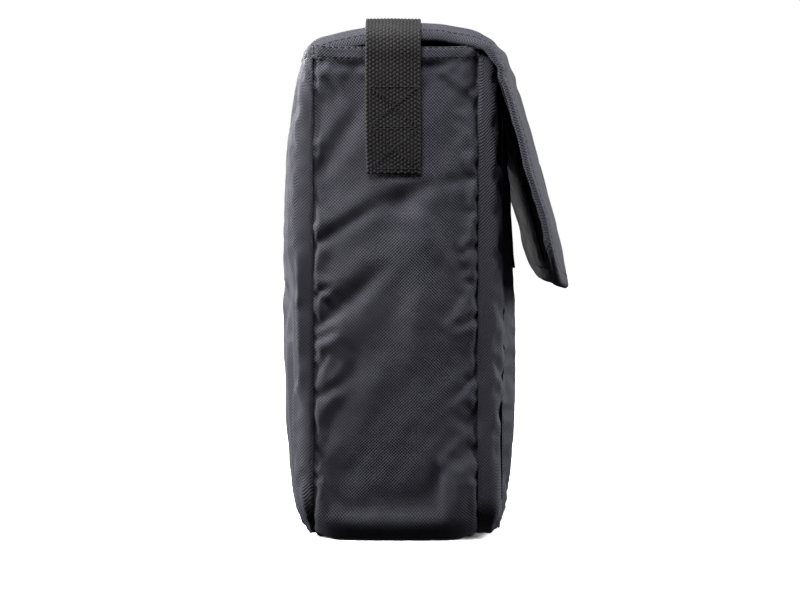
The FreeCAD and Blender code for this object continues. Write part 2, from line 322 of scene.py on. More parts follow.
class Nodes:
    """A material's node tree, with short calls for its nodes."""

    def __init__(self, name):
        self.material = bpy.data.materials.new(name)
        self.material.use_nodes = True
        self.tree = self.material.node_tree
        self.shader = self.tree.nodes["Principled BSDF"]

    def add(self, kind, settings=None, **inputs):
        node = self.tree.nodes.new(kind)
        for key, value in (settings or {}).items():
            setattr(node, key, value)
        for key, value in inputs.items():
            numbered = key[0] == "i" and key[1:].isdigit()
            self.feed(node.inputs[int(key[1:]) if numbered else key], value)
        return node

    def feed(self, socket, value):
        if isinstance(value, bpy.types.NodeSocket):
            self.tree.links.new(value, socket)
        else:
            socket.default_value = value

    def math(self, operation, a, b=0.0, c=0.0):
        return self.add("ShaderNodeMath", {"operation": operation}, i0=a, i1=b, i2=c).outputs[0]

    def plus(self, a, b):
        return self.math("ADD", a, b)

    def times(self, a, b):
        return self.math("MULTIPLY", a, b)

    def mix(self, factor, a, b):
        node = self.add("ShaderNodeMix", {"data_type": "RGBA"})
        self.feed(node.inputs[0], factor)
        self.feed(node.inputs[6], a)
        self.feed(node.inputs[7], b)
        return node.outputs[2]

    def ramp(self, value, low, high, to_low=0.0, to_high=1.0):
        node = self.add("ShaderNodeMapRange", {"clamp": True})
        for index, item in enumerate((value, low, high, to_low, to_high)):
            self.feed(node.inputs[index], item)
        return node.outputs[0]

    def noise(self, vector, scale, detail=2.0):
        return self.add("ShaderNodeTexNoise", Scale=scale, Detail=detail, Vector=vector).outputs["Fac"]

    def solid(self):
        """The place in the object's own space, in metres, for a material without threads."""
        return self.add("ShaderNodeTexCoord").outputs["Object"]

    def weave(self):
        """The place along the cloth, in millimetres, as the vector and its two coordinates."""
        place = self.add("ShaderNodeAttribute", {"attribute_name": "weave"}).outputs["Vector"]
        split = self.add("ShaderNodeSeparateXYZ", i0=place)
        return place, split.outputs[0], split.outputs[1]

    def wave(self, value, period, phase=0.0):
        return self.math("SINE", self.math("MULTIPLY_ADD", value, 2 * math.pi / period, phase))

    def finish(self, color, roughness, height, distance, strength=1.0, sheen=0.0, specular=0.12):
        self.feed(self.shader.inputs["Base Color"], color)
        self.feed(self.shader.inputs["Roughness"], roughness)
        self.shader.inputs["Specular IOR Level"].default_value = specular
        if sheen:
            self.shader.inputs["Sheen Weight"].default_value = sheen
            self.shader.inputs["Sheen Roughness"].default_value = 0.45
            self.shader.inputs["Sheen Tint"].default_value = (0.75, 0.82, 1.0, 1.0)
        if height is not None:
            bumped = self.add("ShaderNodeBump", Height=height, Distance=distance, Strength=strength)
            self.feed(self.shader.inputs["Normal"], bumped.outputs[0])
        return self.material


def rgb(red, green, blue):
    return (red, green, blue, 1.0)


# The default dark colour is painted shade, for the grooves between the weave's raised threads.
def oxford(name, light, dark=rgb(0.0005, 0.0005, 0.0008), period=2.2, relief=0.35, sheen=0.02, wear=0.12):
    """A coarse twilled weave of thick yarn, a little uneven, with slow changes of tone and some pale wear.
    The raised threads take the light colour and the grooves the near-black dark one: the twill's pattern,
    with painted shade in its grooves.
    """
    n = Nodes(name)
    place, u, v = n.weave()
    wobble = n.times(n.noise(place, 0.08, 2.0), 2.2)
    down = n.plus(n.plus(u, v), wobble)
    up = n.plus(n.math("SUBTRACT", u, v), wobble)
    twill = n.plus(n.times(n.wave(down, period), 0.62), n.times(n.wave(up, period), 0.38))
    raised = n.ramp(twill, -0.75, 0.85)
    slow = n.noise(place, 0.012, 3.0)
    grain = n.noise(place, 0.8, 2.0)
    # Painted shade: the raised threads of the twill are coloured lighter, and the grooves between them go
    # near-black.
    tone = n.plus(n.times(raised, 0.85), n.times(n.math("SUBTRACT", grain, 0.5), 0.5))
    color = n.mix(n.ramp(tone, 0.0, 1.0), dark, light)
    faded = n.mix(n.ramp(slow, 0.42, 0.72, 0.0, wear), color, light)
    height = n.plus(raised, n.times(grain, 0.3))
    return n.finish(faded, n.ramp(slow, 0.2, 0.8, 0.6, 0.78), height, relief * MM, 0.9, sheen)


def plain_weave(name, dark, light, period=0.9, relief=0.06, sheen=0.05):
    """A thin, close lining cloth."""
    n = Nodes(name)
    place, u, v = n.weave()
    threads = n.times(n.wave(u, period), n.wave(v, period))
    slow = n.noise(place, 0.02, 3.0)
    color = n.mix(n.ramp(n.plus(threads, slow), -0.6, 1.4), dark, light)
    return n.finish(color, n.ramp(slow, 0.2, 0.8, 0.6, 0.8), threads, relief * MM, 0.7, sheen)


def webbing_cloth(name, dark, light):
    """Heavy webbing: the raised picks are in the mesh, and this adds the fine filaments and a painted
    highlight that grows with each pick's height, over the webbing's own near-black.
    """
    n = Nodes(name)
    place, _, v = n.weave()
    filaments = n.wave(n.plus(v, n.times(n.noise(place, 0.5), 0.6)), 0.42)
    raised = n.ramp(n.add("ShaderNodeSeparateXYZ", i0=place).outputs[2], 0.0, 1.0)
    slow = n.noise(place, 0.05, 3.0)
    # Painted highlight: the light colour grows with each pick's height, so the picks' tops are lit and the
    # webbing's own near-black stays between them.
    tone = n.times(n.math("POWER", raised, 1.5), n.ramp(slow, 0.2, 0.8, 0.6, 1.0))
    color = n.mix(tone, dark, light)
    return n.finish(color, n.ramp(slow, 0.2, 0.8, 0.5, 0.7), filaments, 0.05 * MM, 0.6, 0.02, 0.08)


def thread_material(name, color):
    n = Nodes(name)
    _, u, v = n.weave()
    twist = n.wave(n.plus(u, n.times(v, 2.0)), 0.7)
    shade = n.mix(n.ramp(twist, -1, 1), rgb(*[c * 0.6 for c in color[:3]]), color)
    return n.finish(shade, n.ramp(twist, -1, 1, 0.55, 0.75), twist, 0.05 * MM, 0.5, 0.0, 0.1)


def foam_material(name):
    n = Nodes(name)
    place = n.solid()
    cells = n.add("ShaderNodeTexVoronoi", Scale=900.0, Vector=place).outputs["Distance"]
    tone = n.noise(place, 25.0, 3.0)
    color = n.mix(n.ramp(tone, 0.3, 0.7), rgb(0.085, 0.085, 0.09), rgb(0.13, 0.13, 0.135))
    return n.finish(color, n.ramp(tone, 0.3, 0.7, 0.8, 0.95), cells, 0.3 * MM, 0.6)


def board_material(name):
    n = Nodes(name)
    place = n.solid()
    grain = n.noise(place, 320.0, 4.0)
    color = n.mix(n.ramp(grain, 0.35, 0.65), rgb(0.035, 0.035, 0.04), rgb(0.055, 0.055, 0.06))
    return n.finish(color, n.ramp(grain, 0.3, 0.7, 0.45, 0.6), grain, 0.05 * MM, 0.4)


def tape_material(name, dark, light, hooks):
    """Hook tape has rows of small hooks; loop tape is a fuzzy nap."""
    n = Nodes(name)
    place, u, v = n.weave()
    if hooks:
        rows = n.times(n.wave(u, 1.3), n.wave(v, 1.5))
        height = n.math("POWER", n.ramp(rows, 0.0, 1.0), 0.6)
    else:
        height = n.noise(place, 1.6, 5.0)
    color = n.mix(n.ramp(height, 0.2, 0.8), dark, light)
    return n.finish(color, n.ramp(n.noise(place, 0.2), 0.3, 0.7, 0.6, 0.85), height, 0.4 * MM, 0.9, 0.03)


# Both cloths take oxford's default dark colour, the painted shade in the weave's grooves.
SHELL = oxford("shell_cloth", rgb(0.0205, 0.0203, 0.0292))
TRIM = oxford("trim_cloth", rgb(0.0190, 0.0188, 0.0270))
LINING = plain_weave("lining_cloth", rgb(0.005, 0.0040, 0.0043), rgb(0.026, 0.0220, 0.0230), sheen=0.04)
# The webbing's light colour is a painted highlight, laid on the tops of its picks.
WEBBING = webbing_cloth("webbing_cloth", rgb(0.0005, 0.0004, 0.0004), rgb(0.0092, 0.0078, 0.0088))
THREAD = thread_material("sewing_thread", rgb(0.0035, 0.0033, 0.0040))
BINDING = plain_weave("binding_tape", rgb(0.008, 0.008, 0.009), rgb(0.028, 0.028, 0.030), 1.2, 0.12)
HOOKS = tape_material("hook_tape", rgb(0.006, 0.006, 0.007), rgb(0.03, 0.03, 0.032), True)
LOOPS = tape_material("loop_tape", rgb(0.010, 0.010, 0.011), rgb(0.04, 0.04, 0.043), False)
FOAM = foam_material("closed_cell_foam")
BOARD = board_material("stiffener_board")


# ---------------------------------------------------------------- stitches

def stitch_row(path, out, length=3.0, gap=1.2, radius=0.28, rise=0.12):
    """Vertices, faces and weave of a row of stitches along a path.

    Each stitch is a small tapered run of thread that lies on the cloth.
    """
    path, out = np.asarray(path, float), np.asarray(out, float)
    at = run_length(path)
    count = max(1, int(at[-1] / (length + gap)))
    pitch = at[-1] / count
    vertices, faces, weave = [], [], []
    sides, rings = 6, 5
    turn = np.linspace(0, 2 * math.pi, sides, endpoint=False)
    shape = np.sin(np.linspace(0.12, math.pi - 0.12, rings))
    size = (radius * (0.35 + 0.65 * shape))[:, None]
    for number in range(count):
        along = (number + 0.5) * pitch + np.linspace(-length / 2, length / 2, rings)
        centre, up = (np.stack([np.interp(along, at, values) for values in line.T], -1)
                      for line in (path, out))
        up = unit(up)
        side = np.cross(unit(np.gradient(centre, axis=0)), up)
        centre = centre + up * (rise * shape - 0.15)[:, None]
        ring = (centre[:, None] + side[:, None] * (size * np.cos(turn))[..., None]
                + up[:, None] * (size * np.sin(turn))[..., None])
        base = len(vertices) * rings * sides
        vertices.append(ring.reshape(-1, 3))
        weave.append(np.stack([np.repeat(along, sides), np.tile(turn, rings), np.zeros(rings * sides)], -1))
        for k in range(rings - 1):
            for j in range(sides):
                a, b = base + k * sides + j, base + k * sides + (j + 1) % sides
                faces.append([a, b, b + sides, a + sides])
        faces.append([base + j for j in range(sides)][::-1])
        faces.append([base + (rings - 1) * sides + j for j in range(sides)])
    return np.concatenate(vertices), faces, np.concatenate(weave)


def stitches(name, rows, **shape):
    """One object of several rows of stitches, each a path and the directions out of the cloth along it."""
    vertices, faces, weave, start = [], [], [], 0
    for path, out in rows:
        v, f, w = stitch_row(path, out, **shape)
        vertices.append(v)
        weave.append(w)
        faces += [[i + start for i in face] for face in f]
        start += len(v)
    return add_object(name, np.concatenate(vertices), faces, THREAD, np.concatenate(weave))


def row_on(points, normals, lift=0.1):
    return points + normals * lift, normals


def place(piece, body, slot, *nodes):
    """Puts a finished piece on its body, and hides the CAD nodes it stands for. slot is not used."""
    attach(piece, body)
    if nodes:
        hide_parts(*nodes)


def place_between(piece, bodies, ends, slot, *nodes):
    """Hides the CAD nodes that a piece stands for, and bakes its place into its mesh. bodies, ends and slot
    are not used.
    """
    if nodes:
        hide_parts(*nodes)
    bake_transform(piece)


# ---------------------------------------------------------------- the gusset

def u_path(inset, top, step):
    """The gusset's path seen from the front, from the left top round the bottom to the right top.

    Returns each point's x, z and outward direction, and its length along the path.
    """
    side, low, radius, centre = HALF_WIDTH - inset, inset, BASE_RADIUS - inset, BASE_RADIUS
    straight = int((top - centre) / step)
    corner = HALF_WIDTH - BASE_RADIUS
    angle = np.linspace(0, math.pi / 2, 14, endpoint=False)
    cos, sin = np.cos(angle), np.sin(angle)
    falling = np.linspace(top, centre, straight, endpoint=False)
    flat = np.linspace(-corner, corner, int(2 * corner / (step * 1.5)), endpoint=False)
    rising = np.linspace(centre, top, straight + 1)
    parts = [(-side, falling, -1, 0), (-corner - radius * cos, centre - radius * sin, -cos, -sin),
             (flat, low, 0, -1), (corner + radius * sin, centre - radius * cos, sin, -cos),
             (side, rising, 1, 0)]
    path = np.concatenate([np.stack(np.broadcast_arrays(*part), -1) for part in parts])
    return path, run_length(path[:, :2])


def crease(y, z, start, end, depth, width):
    """A soft groove between two points of the gusset's face, with a low ridge on each side of it."""
    a, b = np.array(start), np.array(end)
    run = b - a
    length = np.linalg.norm(run)
    dy, dz = y - a[0], z - a[1]
    t = (dy * run[0] + dz * run[1]) / length ** 2
    away = (dy * run[1] - dz * run[0]) / length
    taper = smoothstep(-0.12, 0.12, t) * (1 - smoothstep(0.55, 1.1, t))
    return depth * taper * (-bump(away, width) + 0.45 * bump(away - 2.2 * width, 1.7 * width)
                            + 0.3 * bump(away + 2.2 * width, 1.7 * width))


# Soft creases in the narrow sides, each from the seam it starts at: (y, z), (y, z), depth, width.
SIDE_CREASES = [
    ((57, 204), (4, 238), 2.0, 4.1),
    ((55, 146), (0, 198), 2.5, 5.7),
    ((54, 252), (20, 306), 1.9, 6.2),
    ((-54, 252), (-26, 246), 1.6, 4.3),
    ((-24, 247), (8, 231), 1.9, 5.9),
    ((-14, 228), (-46, 178), -1.5, 5.4),
    ((57, 139), (37, 147), 1.6, 2.0),
    ((56, 171), (43, 178), 1.2, 2.0),
    ((-58, 157), (-37, 146), 1.6, 2.4),
    ((-58, 119), (-33, 93), 1.7, 2.8),
    ((-57, 206), (-40, 196), 1.1, 2.4),
    ((56, 98), (28, 120), 1.1, 4.3),
    ((55, 58), (22, 40), 1.1, 6.8),
    ((-56, 66), (-22, 40), 1.2, 6.8),
    ((-12, 122), (-17, 214), -1.2, 8.8),
    ((24, 70), (15, 150), -0.7, 12.2),
    ((50, 320), (38, 300), 1.0, 4.1),
]


def side_relief(y, z, mirrored):
    """How far the cloth of a narrow side stands out from its flat place."""
    if mirrored:
        y = -y * 0.97 + 1.0
        z = z + 9.0
    away = np.where(y > -18, (y + 18) / (SEAM + 18), (-18 - y) / (SEAM - 18))
    relief = 6.0 * (1 - np.clip(away, 0, 1) ** 1.7) * np.sin(np.pi * np.clip(z / MOUTH, 0, 1)) ** 0.7
    for start, end, depth, width in SIDE_CREASES:
        relief = relief + crease(y, z, start, end, depth, width)
    relief = relief - 2.6 * np.exp(-((y + 1) / 15) ** 2 - ((z - 233) / 9) ** 2)
    slant = ripples(11 + mirrored, 26, 60, 8, turn=1.0, spread=1.0)
    fine = ripples(17 + mirrored, 9, 18, 8)
    return relief + 0.4 * slant(y, z) + 0.12 * fine(y, z)


def seam_puckers(along, from_seam, seed, height=0.3, reach=7.0):
    """Small gathers that run in from a seam."""
    gather = ripples(seed, 5.5, 12.0, 9)
    return height * np.exp(-from_seam / reach) * gather(along, along * 0.0)


def gusset_surface(inset, columns=57, step=2.4, top=None, sculpted=True):
    """The gusset's surface: rows follow the path round the case, and columns go from back seam to front."""
    path, length = u_path(inset, top or MOUTH, step)
    y = np.repeat((-eased(columns, 0.93) * SEAM)[None], len(path), 0)
    x, z = (np.repeat(path[:, k:k + 1], columns, 1) for k in (0, 1))
    nx, nz = (np.repeat(path[:, k:k + 1], columns, 1) for k in (2, 3))
    along = np.repeat(length[:, None], columns, 1)
    from_seam = SEAM - np.abs(y)
    out = -2.8 * bump(from_seam, 2.4) - 1.2 * bump(from_seam, 9.0)
    if sculpted:
        flat = np.abs(nx) > 0.5
        side = np.where(x < 0, side_relief(y, z, 0), side_relief(y, z, 1))
        fade = smoothstep(6, 46, z) * (1 - 0.8 * smoothstep(MOUTH - 20, MOUTH - 8, z))
        out = out + np.where(flat, side * fade, 0)
        corner = 2.6 * nz ** 2 * np.abs(nx)
        out = out + 6.5 * corner * (1 - (y / SEAM) ** 6)
        out = out + seam_puckers(along, from_seam, 5) + seam_puckers(along + 400, from_seam, 6) * (y < 0)
        hem = smoothstep(MOUTH - HEM - 1.6, MOUTH - HEM + 0.8, z)
        out = out + 0.8 * hem - 1.2 * bump(z - (MOUTH - HEM - 0.6), 1.2) * (np.abs(nx) > 0.9)
        out = out + 0.35 * ripples(31, 14, 40, 6)(along, y) * hem
        folded = np.abs(y) - (SEAM - 2 - 1.15 * (MOUTH - z))
        corner_fold = 1.1 * bump(folded, 1.3) - 0.5 * bump(folded + 3, 1.6)
        out = out + smoothstep(MOUTH - HEM - 4, MOUTH - HEM, z) * corner_fold
        out = np.where(z < 3, np.minimum(out, 0), out)
    dip = 2.0 * smoothstep(MOUTH - 22, MOUTH, z) * (1 - (y / SEAM) ** 6)
    points = np.stack([x + nx * out, y, z + nz * out - dip], -1)
    points[..., 2] = np.maximum(points[..., 2], 0.05 if sculpted else inset)
    weave = np.stack([along, y, np.zeros_like(y)], -1)
    return points, weave


def build_gusset():
    points, weave = gusset_surface(0.0)
    held = held_edges(points) | (points[..., 2] > MOUTH - HEM - 2) | (points[..., 2] < 1.0)
    points = points + settle(points[:, ::-1], held[:, ::-1], pressure=1.5, growth=0.022, cap=3.0)[:, ::-1]
    points[..., 2] = np.maximum(points[..., 2], 0.05)
    # The cover stays under the strap's sewn end, and may fill out by the room beside and below it.
    beside = smoothstep(STRAP_WIDTH / 2, 31, np.abs(points[..., 1] - STRAP_MIDDLE))
    below = 1 - smoothstep(238, 254, points[..., 2])
    furthest = HALF_WIDTH + 0.5 + np.minimum(9 * beside + 9 * below, 9)
    points[..., 0] = np.sign(points[..., 0]) * np.minimum(np.abs(points[..., 0]), furthest)
    cover = cloth_shell("gusset_shell", points, 1.1, SHELL, weave)
    place(cover, "case", "shell_cloth", "gusset_cover")

    normals = grid_normals(points)
    rows = []
    for end in (slice(None, 60), slice(-60, None)):
        side, side_normals = points[end], normals[end]
        for down in (1.4, HEM - 1.2):
            row = int(np.argmin(np.abs(side[:, side.shape[1] // 2, 2] - (MOUTH - down))))
            rows.append(row_on(side[row, 3:-3], side_normals[row, 3:-3]))
    place(stitches("gusset_hem_stitching", rows), "case", "thread")

    lined, lined_weave = gusset_surface(8.8, 41, 4.0, MOUTH - 4.0, sculpted=False)
    near_top = smoothstep(MOUTH - 26, MOUTH - 5, lined[..., 2])
    lined[..., 0] += np.sign(lined[..., 0]) * near_top * 6.2 * (np.abs(lined[..., 0]) > 130)
    soft = 0.7 * ripples(41, 24, 70, 7)(lined_weave[..., 0], lined_weave[..., 1])
    lined = lined + grid_normals(lined) * (soft - 0.9)[..., None]
    lining = cloth_shell("gusset_inner_lining", lined, 0.5, LINING, lined_weave)
    place(lining, "case", "lining_cloth", "gusset_lining")


# ---------------------------------------------------------------- padded panels

# How far each panel stands out beyond its seam, by height: (z, depth). First in its middle, then along its
# side wall. The back panel's middle is given as shares of its full depth.
BACK_SHARES = [(0, 0.42), (13, 0.60), (27, 0.70), (56, 0.81), (92, 0.89), (184, 0.95), (256, 0.88),
               (305, 0.66), (325, 0.54), (BACK_TOP, 0.40)]
BACK_SHAPE = [(z, share * BACK_DEPTH) for z, share in BACK_SHARES]
BACK_WALL = [(0, 0.2), (10, 2.5), (16, 5.5), (32, 9.5), (60, 12.0), (120, 13.5), (240, 13.5), (290, 11.0),
             (308, 8.8), (320, 6.5), (330, 4.6), (337, 3.0), (BACK_TOP, 1.0)]
FRONT_SHAPE = [(0, FRONT_DEPTH), (60, FRONT_DEPTH + 0.4), (240, FRONT_DEPTH + 0.4),
               (FRONT_TOP, FRONT_DEPTH - 1.5)]


def by_height(shape, z):
    heights, values = zip(*shape)
    return smooth_through(np.array(heights, float), np.array(values, float), np.clip(z, 0, heights[-1]))


def panel_grid(columns=112, rows=124, rim=20.0):
    """Two sets of fractions, closer together near the edges where a panel's rim is rolled."""
    def spaced(count, span):
        edge = rim / span
        curve = edge * (1 - np.cos(np.linspace(0, math.pi / 2, 13)))
        middle = np.linspace(edge, 1 - edge, count - 24)[1:-1]
        return np.concatenate([curve, middle, 1 - curve[::-1]])
    return spaced(columns, 2 * HALF_WIDTH), spaced(rows, MOUTH)


def outline_width(z):
    """Half the case's width at a height, seen from the front."""
    low = np.clip(BASE_RADIUS - z, 0, BASE_RADIUS)
    return HALF_WIDTH - BASE_RADIUS + np.sqrt(np.maximum(BASE_RADIUS ** 2 - low ** 2, 0))


def outline_distance(x, z, top):
    """How far inside the case's outline a point is, seen from the front."""
    centre = HALF_WIDTH - BASE_RADIUS
    straight = np.minimum(HALF_WIDTH - np.abs(x), z)
    corner = BASE_RADIUS - np.hypot(np.maximum(np.abs(x) - centre, 0), np.maximum(BASE_RADIUS - z, 0))
    inside = np.where((np.abs(x) > centre) & (z < BASE_RADIUS), corner, straight)
    above = top - z
    softness = 7.0
    blend = np.clip(0.5 + 0.5 * (above - inside) / softness, 0, 1)
    return np.maximum(above * (1 - blend) + inside * blend - softness * blend * (1 - blend), 0)


def panel_surface(side, depth, wall, top, rounding, seed, inset=0.0):
    """A padded panel's surface from its seam out to its face. side is 1 for the back and -1 for the front."""
    across, up = panel_grid()
    z = np.repeat((inset + up * (top - 2 * inset))[:, None], len(across), 1)
    x = (2 * across[None] - 1) * (outline_width(z) - inset)
    distance = np.maximum(outline_distance(x, z, top) - inset, 0)
    r = rounding - inset
    rim = np.maximum(1 - (1 - np.minimum(distance, r) / r) ** 2.5, 0) ** 0.45
    edge_wall = by_height(wall, z)
    pillow = (by_height(depth, z) - edge_wall) * (1 - np.abs(x / HALF_WIDTH) ** 2.2)
    out = np.maximum(edge_wall + pillow - inset, 0.2) * rim
    dips = ripples(seed, 30, 90, 8)(x, z) * 0.7 + ripples(seed + 1, 12, 26, 8)(x, z) * 0.18
    upright = ripples(seed + 2, 7, 15, 8, turn=0.0, spread=0.05)(x, z)
    lying = ripples(seed + 3, 16, 34, 7, turn=math.pi / 2, spread=0.4)(x, z)
    near_side = bump(HALF_WIDTH - np.abs(x) - 14, 16)
    out = out + rim * ((1 - 0.65 * near_side) * dips + 0.8 * near_side * upright + 0.12 * near_side * lying)
    y = side * (SEAM + out)
    weave = np.stack([x, z, np.zeros_like(x)], -1)
    weave[..., 0] += np.sign(x) * (rounding * 0.57) * (1 - rim)
    points = np.stack([x, y, z], -1)
    gather = ripples(seed + 5, 6, 13, 9)(z + x, z - x)
    points[..., 1] += side * 0.5 * gather * np.exp(-distance / 5.0) * (distance > 0)
    dive = bump(distance, 1.6)
    centre = np.stack([np.zeros_like(x), np.zeros_like(x), np.full_like(x, top / 2)], -1)
    inward = centre - points
    inward[..., 1] = 0
    inward /= np.linalg.norm(inward, axis=-1, keepdims=True)
    points += inward * (2.6 * dive)[..., None]
    points[..., 2] = np.maximum(points[..., 2], 0.1 + inset)
    return (points, weave) if side > 0 else (points[:, ::-1], weave[:, ::-1])


def padded_panel(name, side, depth, wall, top, rounding, seed):
    """A panel's cover, let fill out, and its flatter lining. side is 1 for the back and -1 for the front."""
    points = panel_surface(side, depth, wall, top, rounding, seed)[0]
    points = points + settle(points, held_edges(points, 4), pressure=0.6, growth=0.02, cap=2.2)
    points[..., 2] = np.maximum(points[..., 2], 0.1)
    cover = cloth_shell(f"{name}_panel_shell", points, 1.0, SHELL, rounded=False)
    place(cover, "case", "shell_cloth", f"{name}_panel_cover", f"{name}_panel_foam")
    lined, lined_weave = panel_surface(side, depth, wall, top, rounding, seed + 20, inset=6.5)
    face = cad(f"{name}_panel_foam")[0 if side > 0 else 1][1] * side - 1.2
    limit = face + 0.25 * ripples(seed + 30, 30, 80)(lined[..., 0], lined[..., 2])
    lined[..., 1] = side * np.minimum(side * lined[..., 1], limit)
    lining = cloth_shell(f"{name}_panel_inner_lining", lined, 0.5, LINING, lined_weave, rounded=False)
    place(lining, "case", "lining_cloth", f"{name}_panel_lining")


# ---------------------------------------------------------------- the flap

# The flap's outer surface in its middle and at its side edges, from the back seam over the top and down the
# front: (y, z).
FLAP_MIDDLE = [(69, 336.5), (67, 342.6), (61, 347.4), (50, 351.0), (30, 355.4), (0, 358.7), (-25, 359.0),
               (-48, 356.6), (-64, 352.2), (-75, 345.8), (-82.5, 336.8), (-87, 324), (-92.4, 306),
               (-98.4, 286), (-104.8, 265), (-111.4, 241), (-117.8, 216), (-122.8, 195), (-125.4, 184),
               (-126.8, 174)]
FLAP_SIDE = [(61, 336.0), (59.2, 340.2), (54.6, 345.0), (44, 349.2), (26, 353.0), (2, 357.0), (-25, 357.4),
             (-44, 354.8), (-57, 350.6), (-66, 344.8), (-71.6, 336.5), (-75.6, 322), (-80.4, 305),
             (-86.2, 285), (-92, 264), (-99, 241), (-105.2, 221), (-109, 202), (-110.2, 192), (-111.2, 182)]
FLAP_ROLL = 10.5            # radius that the flap's side edges are rolled over
FLAP_THICK = 4.2
FLAP_CORNER = 30.0          # radius of the front part's two bottom corners
FLAP_ROWS = 150
FLAP_COLUMNS = 121
FLAP_FOLD = -84.0           # how far forward the front fold lies


def flap_surface(offset, inset=0.0):
    """The flap's surface, moved in by offset from its outer face. Rows go from back seam to front edge."""
    middle, side = resample(FLAP_MIDDLE, FLAP_ROWS), resample(FLAP_SIDE, FLAP_ROWS)
    length = run_length(middle)
    if inset:
        keep = (length > 0) & (length < length[-1] - inset)
        middle, side, length = middle[keep], side[keep], length[keep]
    fold = length[np.argmin(np.abs(middle[:, 0] - FLAP_FOLD))]
    total = length[-1] if not inset else length[-1] + inset

    # Across the flap: flat in the middle, then rolled over the side edge.
    flat = HALF_WIDTH - FLAP_ROLL
    rolled = FLAP_ROLL * math.pi / 2
    reach = flat + rolled - inset
    spread = np.linspace(-1, 1, FLAP_COLUMNS)
    a = reach * np.sign(spread) * (1 - (1 - np.abs(spread)) ** 1.25)
    a = np.repeat(a[None], len(middle), 0)
    beyond = np.maximum(np.abs(a) - flat, 0)
    # Full roll over the top, and only a slight curl on the front part.
    topness = 1 - smoothstep(fold - 52, fold + 14, length)
    curl = (0.16 + 0.84 * topness)[:, None]
    shrink = (rolled - FLAP_ROLL) * (1 - topness)[:, None]
    beyond = beyond * (1 - shrink / rolled)
    angle = beyond / FLAP_ROLL * curl
    x = np.sign(a) * (np.minimum(np.abs(a), flat) + FLAP_ROLL / curl * np.sin(angle))
    drop = FLAP_ROLL / curl * (1 - np.cos(angle))

    share = np.abs(x / HALF_WIDTH) ** 2.7
    profile = middle[:, None] * (1 - share)[..., None] + side[:, None] * share[..., None]
    tangent = unit(np.gradient(profile, axis=0))
    inward = np.stack([-tangent[..., 1], tangent[..., 0]], -1)

    # The front part's bottom corners are rounded, so its rows are drawn up towards the sides.
    from_side = np.maximum(HALF_WIDTH - np.abs(x), 0)
    r = FLAP_CORNER
    lift = np.where(from_side < r, r - np.sqrt(np.maximum(r * r - (r - from_side) ** 2, 0)), 0)
    rowed = smoothstep(total - 95, total, length + inset)[:, None]
    position = length[:, None] - lift * rowed
    y, z = (profile_at(profile[..., k], length, position) for k in (0, 1))
    inward = np.stack([profile_at(inward[..., k], length, position) for k in (0, 1)], -1)

    down = drop + offset - flap_relief(x, position, fold, a)
    y = y + inward[..., 0] * down
    z = z + inward[..., 1] * down
    # On the rolled edge the thickness goes sideways as well as down.
    x = x - np.sign(a) * offset * np.sin(angle) * curl
    y = y - inward[..., 0] * offset * (1 - np.cos(angle)) * curl
    z = z - inward[..., 1] * offset * (1 - np.cos(angle)) * curl
    weave = np.stack([position, a, np.zeros_like(a)], -1)
    return np.stack([x, y, z], -1), weave, length


def profile_at(values, length, position):
    """values on the grid's rows, read at other places along each column."""
    result = np.empty_like(values)
    for column in range(values.shape[1]):
        result[:, column] = np.interp(position[:, column], length, values[:, column])
    return result


def flap_relief(x, along, fold, a):
    """How far the flap's cloth stands out: wrinkles over the top's sides, soft dents in the front part."""
    on_top = 1 - smoothstep(fold - 30, fold + 10, along)
    on_front = 1 - on_top
    bands = ripples(61, 5.5, 10, 7, turn=math.pi / 2, spread=0.12)(along * 0.5, np.abs(a))
    at_edge = smoothstep(HALF_WIDTH - 22, HALF_WIDTH - 4, np.abs(a))
    soft = ripples(63, 45, 110, 8)(x, along)
    fine = ripples(64, 13, 30, 8)(x, along)
    under_strap = bump(along - strap_place(), 24)
    dent = -0.8 * under_strap * smoothstep(20, 60, HALF_WIDTH - np.abs(x))
    fold_lines = ripples(66, 10, 22, 6, turn=math.pi / 2, spread=0.3)(x, along) * bump(along - fold, 26)
    return (0.55 * at_edge * bands * on_top + dent + 0.8 * soft * (0.25 + 0.75 * on_front) + 0.2 * fine
            + 0.5 * fold_lines)


def strap_place():
    """The length along the flap, from the back seam, at the strap's middle."""
    middle = resample(FLAP_MIDDLE, FLAP_ROWS)
    return run_length(middle)[np.argmin(np.abs(middle[:, 0] - STRAP_MIDDLE) + (middle[:, 1] < 300) * 1000)]


def build_flap():
    outer, weave, length = flap_surface(0.0)
    inner = flap_surface(FLAP_THICK)[0]
    split = int(np.argmin(np.abs(length - strap_place())))
    hinge, crease_at = (np.array(JOINTS[name]["pos_m"]) for name in ("flap_open", "flap_fold"))
    over_hinge = (hinge + np.array([0, 0.008, -0.004]), hinge + np.array([0, -0.010, 0.003]))
    over_fold = (crease_at + np.array([0, 0.002, 0.006]), crease_at + np.array([0, -0.012, -0.034]))
    back, front = (("case", "flap_top"), over_hinge), (("flap_top", "flap_front"), over_fold)
    for name, part, (bodies, ends), label in (("flap_back_half", slice(0, split + 1), back, "flap_top"),
                                              ("flap_front_half", slice(split, None), front, "flap_front")):
        piece = sandwich(name, outer[part], inner[part], weave[part], SHELL)
        place_between(piece, bodies, ends, "shell_cloth", f"{label}_cover", f"{label}_stiffener")

    lined, lined_weave, lined_length = flap_surface(FLAP_THICK + 1.0, inset=9.0)
    lined_split = int(np.argmin(np.abs(lined_length - strap_place())))
    tucks = ripples(151, 9, 24, 9, turn=0.9, spread=0.8)(lined_weave[..., 0], lined_weave[..., 1])
    lined = lined - grid_normals(lined) * (0.8 + np.clip(0.45 * tucks, -0.7, 0.9))[..., None]
    for name, part, (bodies, ends), node in (
            ("flap_back_lining", slice(4, lined_split + 1), back, "flap_top_lining"),
            ("flap_front_inner_lining", slice(lined_split, None), front, "flap_front_lining")):
        lining = cloth_shell(name, lined[part][::-1], 0.5, LINING, lined_weave[part][::-1])
        place_between(lining, bodies, ends, "lining_cloth", node)

    finish_flap(outer, inner, split, back, front)


